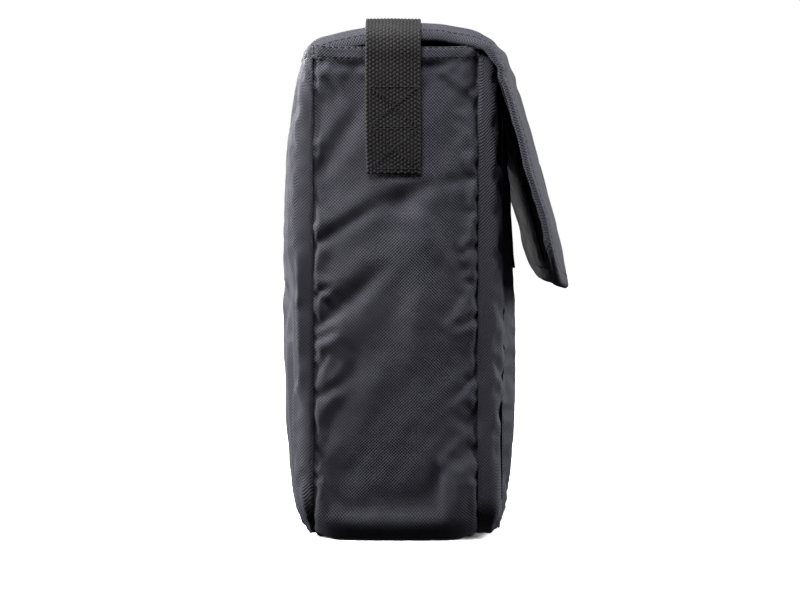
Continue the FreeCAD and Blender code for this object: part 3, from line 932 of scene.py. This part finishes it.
def finish_flap(outer, inner, split, back, front):
    """The flap's stitching, its blank patch and its loop tapes, all laid on the flap's own surface."""
    normals, inner_normals = grid_normals(outer), -grid_normals(inner)
    edge = 4
    for name, part, (bodies, ends) in (("flap_back_stitching", slice(3, split + 1), back),
                                       ("flap_front_stitching", slice(split, None), front)):
        line, facing = outer[part], normals[part]
        last = -4 if "front" in name else None
        rows = [row_on(line[:last, column], facing[:last, column]) for column in (edge, -1 - edge)]
        if last:
            rows.append(row_on(line[last, edge:-edge], facing[last, edge:-edge]))
        place_between(stitches(name, rows), bodies, ends, "thread")

    low, high = cad("flap_patch")
    patch, woven = surface_patch(outer, normals, low[0], high[0], low[2], high[2], 1.0)
    place(cloth_shell("flap_blank_patch", patch, 0.9, TRIM, woven), "flap_front", "trim_cloth", "flap_patch")
    tape_pair("flap_loop_tape", "flap_loop_tapes", inner, inner_normals, 3.6, 1.1, LOOPS, "flap_front",
              "loop_tape")


def tape_pair(name, node, points, normals, lift, thickness, material, body, slot):
    """A tape near each side edge of a surface. The left one stands for the CAD node of both."""
    low, high = cad(node)
    for label, x0, x1 in (("left", low[0], low[0] + TAPE_WIDTH), ("right", high[0] - TAPE_WIDTH, high[0])):
        patch, woven = surface_patch(points, normals, x0, x1, low[2], high[2], lift)
        tape = cloth_shell(f"{name}_{label}", patch[::-1], thickness, material, woven[::-1])
        place(tape, body, slot, *([node] if label == "left" else []))


def surface_patch(points, normals, x0, x1, z0, z1, lift):
    """A grid lifted off a surface's front part, between two heights and two places across, and its weave."""
    middle = points[:, points.shape[1] // 2]
    rows = np.flatnonzero((middle[:, 2] < z1 + 2) & (middle[:, 1] < -80))
    half_way = points[rows[len(rows) // 2], :, 0]
    grid, facing = [], []
    for z in np.linspace(z1, z0, PATCH_GRID[0]):
        for x in np.linspace(x0, x1, PATCH_GRID[1]):
            column = int(np.argmin(np.abs(half_way - x)))
            row = rows[int(np.argmin(np.abs(points[rows, column, 2] - z)))]
            grid.append(point_at(points[rows], x, z))
            facing.append(normals[row, column])
    lifted = (np.array(grid) + np.array(facing) * lift).reshape(*PATCH_GRID, 3)
    return lifted, np.stack([lifted[..., 2], lifted[..., 0], lifted[..., 0] * 0], -1)


def point_at(part, x, z):
    """The point of a grid at a place across and a height."""
    ys, zs = (np.array([np.interp(x, line[:, 0], line[:, k]) for line in part]) for k in (1, 2))
    order = np.argsort(zs)
    return np.array([x, np.interp(z, zs[order], ys[order]), z])


# ---------------------------------------------------------------- the pocket

def pocket_surface():
    """The pocket's face before it fills out: rows go from its mouth down, columns from left to right."""
    half = POCKET_HALF
    # The pocket's face in its middle, from its mouth down: (y, z).
    line = resample([(-75.6, POCKET_HIGH[2]), (-77.4, 262), (-79.6, 205), (-82.2, 150), (-82.8, 110),
                     (-80.2, 48), (-76.5, 16), (-73.0, 4)], 96)
    columns = 101
    x = np.repeat((eased(columns, 0.9) * half)[None], len(line), 0)
    y, z = (np.repeat(line[:, k:k + 1], columns, 1) for k in (0, 1))
    from_edge = half - np.abs(x)
    round_by = 24.0
    lift = round_by - np.sqrt(np.maximum(round_by ** 2 - np.maximum(round_by - from_edge, 0) ** 2, 0))
    z = z + lift * (1 - smoothstep(0, 70, z))
    y = y + 0.22 * lift * (1 - smoothstep(0, 50, z))
    full = smoothstep(0, POCKET_HIGH[2], POCKET_HIGH[2] - z)
    curl = (1 - smoothstep(0, 26, from_edge)) ** 1.6
    y = y + curl * (4.5 + 6.0 * full) - 2.2 * (1 - (x / half) ** 2) * np.sin(np.pi * z / POCKET_HIGH[2])
    y = y - 0.6 * ripples(71, 30, 90)(x, z) * (1 - curl) - 0.16 * ripples(72, 10, 22)(x, z)
    y = y - 0.5 * ripples(73, 7, 15, 8, turn=math.pi / 2, spread=0.3)(x, z) * np.exp(-from_edge / 10)
    y = np.minimum(y, FRONT_FACE - 1.5)
    hem = smoothstep(POCKET_HIGH[2] - 11, POCKET_HIGH[2] - 9.5, z)
    y = y - 0.5 * hem + 0.5 * bump(z - (POCKET_HIGH[2] - 11.5), 0.9)
    return np.stack([x, y, z], -1)


def build_pocket():
    points = pocket_surface()
    hem_row = int(np.argmin(np.abs(points[:, 0, 2] - (POCKET_HIGH[2] - 9.0))))
    moved = settle(points[::-1, ::-1], held_edges(points, 3), pressure=0.6, growth=0.02, cap=1.8)
    points[1:-1] += moved[::-1, ::-1][1:-1]
    points[..., 1] = np.minimum(points[..., 1], FRONT_FACE - 1.5)
    face = cloth_shell("front_pocket_face", points[::-1, ::-1], 1.0, SHELL)
    place(face, "case", "shell_cloth", "front_pocket_panel", "front_pocket_hem")
    normals = grid_normals(points)
    normals *= -np.sign(normals[..., 1:2])
    tape_pair("pocket_hook_tape", "pocket_hook_tapes", points, normals, 0.8, 0.9, HOOKS, "case", "hook_tape")
    rows = [row_on(points[hem_row, 2:-2], normals[hem_row, 2:-2])]
    rows += [row_on(points[1:-4, column], normals[1:-4, column]) for column in (2, -3)]
    seams = stitches("front_pocket_stitching", rows)
    place(seams, "case", "thread")

    build_bellows(points)


def build_bellows(points):
    """The pinched edge and the bellows strip that folds in behind it, down both sides of the pocket."""
    # Each line of the strip, from the face's edge to the case: outward, and back towards the case.
    folds = ((1.4, -1.1), (0.4, -0.2), (-2.2, 2.4), (-4.0, 5.2), (-1.4, 7.6), (1.2, 10.5))
    for sign, label in ((-1, "left"), (1, "right")):
        edge = points[:, 0] if sign < 0 else points[:, -1]
        strips = []
        reach = np.maximum(FRONT_FACE + 0.6 - edge[:, 1], 2.0)
        for t, (dx, dy) in enumerate(folds):
            strip = edge.copy()
            strip[:, 0] += sign * dx
            strip[:, 1] += dy / folds[-1][1] * reach if t > 1 else dy
            strip[:, 0] += sign * 0.5 * ripples(80 + t, 12, 30)(edge[:, 2], edge[:, 2] * 0)
            strips.append(strip)
        bellows = np.stack(strips, 1)
        fine = np.stack([resample(row, 15) for row in bellows])
        if sign < 0:
            fine = fine[:, ::-1]
        piece = cloth_shell(f"front_pocket_bellows_{label}", fine[::-1], 0.9, SHELL)
        place(piece, "case", "shell_cloth", *(["front_pocket_gusset"] if sign < 0 else []))


# ---------------------------------------------------------------- the strap

def strap_path():
    """The left half of the strap's middle line in (x, z), from its sewn lower end up to the case's middle."""
    face = -STRAP_FACE
    top = STRAP_TOP - 0.4
    sewn = STRAP_LOW[2]
    return [(face, sewn), (face - 0.2, sewn + 20), (face, sewn + 45), (face - 0.1, STRAP_HIGH[2]),
            (face + 0.1, 330), (face - 0.1, 341), (face + 1.4, 349.5), (face + 5.2, 355.8),
            (face + 11.5, 359.6), (face + 22, 360.6), (-100, top + 0.2), (-60, top - 0.1),
            (-30, top + 0.1), (0, top)]


def build_strap():
    columns_wide = 16
    half = STRAP_WIDTH / 2
    pitch, row_pitch = STRAP_WIDTH / columns_wide, 2.8
    line = resample(strap_path(), step=0.56)
    length = run_length(line)
    tangent = unit(np.gradient(line, axis=0))
    u, w = np.meshgrid(length, np.linspace(-half, half, 5 * columns_wide + 1), indexing="ij")
    # Each pick is a small mound, and its neighbours in the next column are half a pitch further on.
    column = np.floor((w + half) / pitch * 0.99999)
    across = (w + half) / pitch - column
    slant = 0.30 * (across - 0.5) * np.where(np.mod(column, 2) > 0, 1, -1)
    phase = np.mod(u / row_pitch + 0.5 * np.mod(column, 2) + slant, 1.0)
    pick = np.clip(np.sin(np.pi * across), 0, 1) ** 0.8 * np.clip(np.sin(np.pi * phase), 0, 1) ** 1.3
    edge_round = -0.55 * np.clip((np.abs(w) - 17.8) / 1.2, 0, 1) ** 2
    crown = 0.5 * (1 - (w / half) ** 2) * smoothstep(95, 130, u)
    relief = 0.5 * pick + edge_round + crown + 0.18 * ripples(91, 18, 50)(u, w)
    out = np.stack([-tangent[:, 1], np.zeros(len(line)), tangent[:, 0]], -1)
    base = np.stack([line[:, 0], np.full(len(line), STRAP_MIDDLE), line[:, 1]], -1)
    points = base[:, None] + out[:, None] * (relief + 0.1)[..., None]
    narrow = 1 - 0.02 * bump(u - 4, 9)
    sway = 0.5 * np.sin(length / 38.0)
    points[..., 1] += -w * narrow + sway[:, None]
    # The weave's third value is each pick's height, which the webbing's material turns into a painted
    # highlight on the picks' tops.
    weave = np.stack([u, w, pick], -1)
    for label, sign in (("left", 1), ("right", -1)):
        grid = points[:, ::-sign] * np.array([sign, 1, 1])
        thickness = 1.5 + relief[:, ::sign] * 0.3
        piece = cloth_shell(f"carry_strap_{label}", grid, thickness, WEBBING, weave[:, ::-sign])
        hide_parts(f"strap_end_{label}")
        if sign > 0:
            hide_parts("carry_strap_span")
        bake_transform(piece)
        build_box_stitches(label, sign)


def build_box_stitches(label, sign):
    """Two sewn boxes with a cross in each, on the strap's end. sign is 1 for the left, -1 for the right."""
    low, high = STRAP_LOW[2] + 3, STRAP_HIGH[2] - 3
    middle = (low + high) / 2
    x = -(STRAP_FACE + 0.5) * sign
    half = 16.4
    facing = np.tile([-sign, 0, 0], (12, 1))
    rows = []
    for z0, z1 in ((low, middle - 0.8), (middle + 0.8, high)):
        corners = [(-half, z0), (half, z0), (half, z1), (-half, z1)]
        sides = list(zip(corners, corners[1:] + corners[:1]))
        for (y0, za), (y1, zb) in sides + [(corners[0], corners[2]), (corners[1], corners[3])]:
            for shift in (-0.6, 0.6) if y0 != y1 and za != zb else (0.0,):
                start = np.array([x, STRAP_MIDDLE + y0, za + shift])
                end = np.array([x, STRAP_MIDDLE + y1, zb + shift])
                rows.append((start + (end - start) * np.linspace(0, 1, 12)[:, None], facing))
    piece = stitches(f"strap_box_stitching_{label}", rows, length=2.2, gap=0.6, radius=0.36, rise=0.15)
    place(piece, "case", "thread", f"strap_stitching_{label}")


# ---------------------------------------------------------------- inside and small pieces

def rounded_slab(name, low, high, material, soften=1.2, dimple=0.25, seed=1):
    """A soft slab with rounded edges and a slightly uneven surface."""
    low, high = np.array(low, float), np.array(high, float)
    size = high - low
    counts = np.maximum((size / 7).astype(int), 3) + 4
    thin = int(np.argmin(size))
    i, j = [k for k in range(3) if k != thin]
    a, b = np.meshgrid(np.linspace(0, 1, counts[i]), np.linspace(0, 1, counts[j]), indexing="ij")
    edge = np.minimum.reduce([a * size[i], (1 - a) * size[i], b * size[j], (1 - b) * size[j]])
    faces = []
    for face in (0, 1):
        points = np.zeros(a.shape + (3,))
        points[..., i] = low[i] + a * size[i]
        points[..., j] = low[j] + b * size[j]
        uneven = dimple * (1 + ripples(seed + face, 20, 60)(points[..., i], points[..., j])) / 2
        pull = soften * (1 - smoothstep(0, 6, edge)) + uneven
        points[..., thin] = low[thin] + pull if face == 0 else high[thin] - pull
        faces.append(points)
    outer, inner = faces if np.cross(np.eye(3)[i], np.eye(3)[j])[thin] < 0 else faces[::-1]
    return sandwich(name, outer, inner, outer[..., [i, j, thin]], material)


def seam_binding(name, y0, y1, inset):
    """Binding tape folded over a raw seam inside the case, all the way round the gusset."""
    path, length = u_path(inset, MOUTH - 12, 4.0)
    section = [(y0, 0.2), (y0, 1.6), ((y0 + y1) / 2, 2.2), (y1, 1.6), (y1, 0.2)]
    ring = resample(section, 9)
    points = np.zeros((len(path), len(ring), 3))
    wave = 0.25 * ripples(int(inset * 10 + y0), 15, 50)(length, length * 0)
    for k, (y, rise) in enumerate(ring):
        points[:, k, 0] = path[:, 0] - path[:, 2] * (rise + wave)
        points[:, k, 2] = path[:, 1] - path[:, 3] * (rise + wave)
        points[:, k, 1] = y
    return cloth_shell(name, points, 0.6, BINDING)


def build_inside():
    # Each foam, and how far its low and high corners are moved in from its CAD box, for the creased cover.
    for node, at_low, at_high in (("side_foam_left", [4.6, 9, 0.3], [-1.8, 9, 9]),
                                  ("side_foam_right", [-1.8, 9, 0.3], [4.6, 9, 9]),
                                  ("bottom_foam", [0.4, 9, 0.5], [0.4, 9, 0.7])):
        low, high = cad(node)
        slab = rounded_slab(f"{node}_pad", low + at_low, high - at_high, FOAM, 0.6)
        place(slab, "case", "foam", node)
    low, high = cad("bottom_board")
    board = rounded_slab("bottom_stiffener", low + [2, 2, 0.35], high - [2, 2, 0.05], BOARD, 0.2, 0.0)
    place(board, "case", "board", "bottom_board")
    for node in ("front_seam_tape", "back_seam_tape"):
        low, high = cad(node)
        piece = seam_binding(f"{node.split('_')[0]}_seam_binding", high[1], low[1], 8.0)
        place(piece, "case", "binding", node)

    # The divider ends short of its CAD box at the back, to leave room for the back panel's lining.
    back_gap = 10.0
    low, high = cad("divider_cover")
    cover = rounded_slab("divider_pad", low, high - [0, back_gap, 0], LINING, 2.2, 0.5, seed=5)
    place(cover, "divider", "lining_cloth", "divider_cover", "divider_foam")
    low, high = cad("divider_hook_tapes")
    x0, x1, z0, z1 = low[0] + 0.6, high[0] - 0.6, low[2], high[2]
    for label, y0 in (("front", low[1]), ("back", high[1] - back_gap - 1.5)):
        tape = rounded_slab(f"divider_tape_{label}", [x0, y0, z0], [x1, y0 + 1.5, z1], HOOKS, 0.2, 0.0)
        place(tape, "divider", "hook_tape", *(["divider_hook_tapes"] if label == "front" else []))


def build_floor():
    """A pale floor. Diffuse and glossy rays don't see it, so it throws no light back at the case."""
    floor = bpy.data.meshes.new("floor")
    near, far = 6.0, 10.0
    floor.from_pydata([(-near, -near, 0), (far, -near, 0), (far, near, 0), (-near, near, 0)], [],
                      [(0, 1, 2, 3)])
    n = Nodes("pale_floor")
    tone = n.noise(n.solid(), 1.5, 1.0)
    color = n.mix(n.ramp(tone, 0.3, 0.7), rgb(0.895, 0.895, 0.898), rgb(0.90, 0.90, 0.903))
    floor.materials.append(n.finish(color, n.ramp(tone, 0.3, 0.7, 0.5, 0.6), None, 0, specular=0.0))
    piece = bpy.data.objects.new("floor", floor)
    bpy.context.scene.collection.objects.link(piece)
    piece.visible_diffuse = piece.visible_glossy = False


def build_world():
    """A world that the camera sees as white, and that lights the case only dimly."""
    world = bpy.data.worlds.new("studio")
    bpy.context.scene.world = world
    world.use_nodes = True
    tree = world.node_tree
    seen = tree.nodes["Background"]
    around = tree.nodes.new("ShaderNodeBackground")
    for background in (seen, around):
        background.inputs[0].default_value = (1.0, 1.0, 1.0, 1.0)
    around.inputs[1].default_value = 0.11
    choice = tree.nodes.new("ShaderNodeMixShader")
    tree.links.new(tree.nodes.new("ShaderNodeLightPath").outputs["Is Camera Ray"], choice.inputs[0])
    tree.links.new(around.outputs[0], choice.inputs[1])
    tree.links.new(seen.outputs[0], choice.inputs[2])
    tree.links.new(choice.outputs[0], tree.nodes["World Output"].inputs[0])
    bpy.context.scene.view_settings.view_transform = "Standard"


def build_lamps():
    # Each lamp's name, place and target in metres, its size, its power in watts and its colour.
    case = (0, 0, 0.2)
    for name, location, target, size, power, color in (
            ("key", (-0.38, 0.15, 0.74), (-0.15, 0, 0.22), (0.3, 0.3), 18.5, (1.0, 0.99, 0.985)),
            ("back_side", (-0.28, 1.85, 0.85), case, (0.5, 1.0), 235, (1.0, 0.99, 0.985)),
            ("front_side", (-0.25, -1.85, 0.7), case, (0.6, 1.0), 85, (0.97, 0.98, 1.0)),
            ("far_front", (0.9, -1.9, 0.9), case, (0.8, 0.8), 60, (0.99, 0.99, 1.0)),
            ("far_back", (1.4, 1.2, 1.0), case, (0.8, 0.8), 70, (1.0, 0.99, 0.99))):
        light = bpy.data.lights.new(name, "AREA")
        light.shape, light.size, light.size_y = "RECTANGLE", size[0], size[1]
        light.energy, light.color = power, color
        lamp = bpy.data.objects.new(name, light)
        lamp.location = location
        lamp.rotation_euler = aim(np.array(target) - np.array(location))
        bpy.context.scene.collection.objects.link(lamp)
    sky = bpy.data.lights.new("overhead", "SUN")
    sky.energy, sky.angle = 4.2, math.radians(60)
    lamp = bpy.data.objects.new("overhead", sky)
    lamp.location = (0, 0, 2)
    bpy.context.scene.collection.objects.link(lamp)


def aim(direction):
    """Euler angles that point a camera or lamp along a direction."""
    direction = np.asarray(direction, float)
    direction /= np.linalg.norm(direction)
    tilt = math.acos(-direction[2])
    return (tilt, 0.0, math.atan2(direction[0], -direction[1]) + math.pi)


def build_camera():
    camera = bpy.data.cameras.new("camera")
    camera.lens, camera.sensor_width = 98.2, 36.0
    holder = bpy.data.objects.new("camera", camera)
    holder.location = (-1.65, -0.003, 0.2156)
    holder.rotation_euler = aim((1.5, 0.0, -0.0486))
    bpy.context.scene.collection.objects.link(holder)
    bpy.context.scene.camera = holder


build_camera()
build_floor()
build_world()
build_lamps()
build_gusset()
padded_panel("back", 1, BACK_SHAPE, BACK_WALL, BACK_TOP, 11.0, 101)
padded_panel("front", -1, FRONT_SHAPE, FRONT_SHAPE, FRONT_TOP, 12.5, 131)
build_pocket()
build_flap()
build_strap()
build_inside()

bpy.context.view_layer.update()
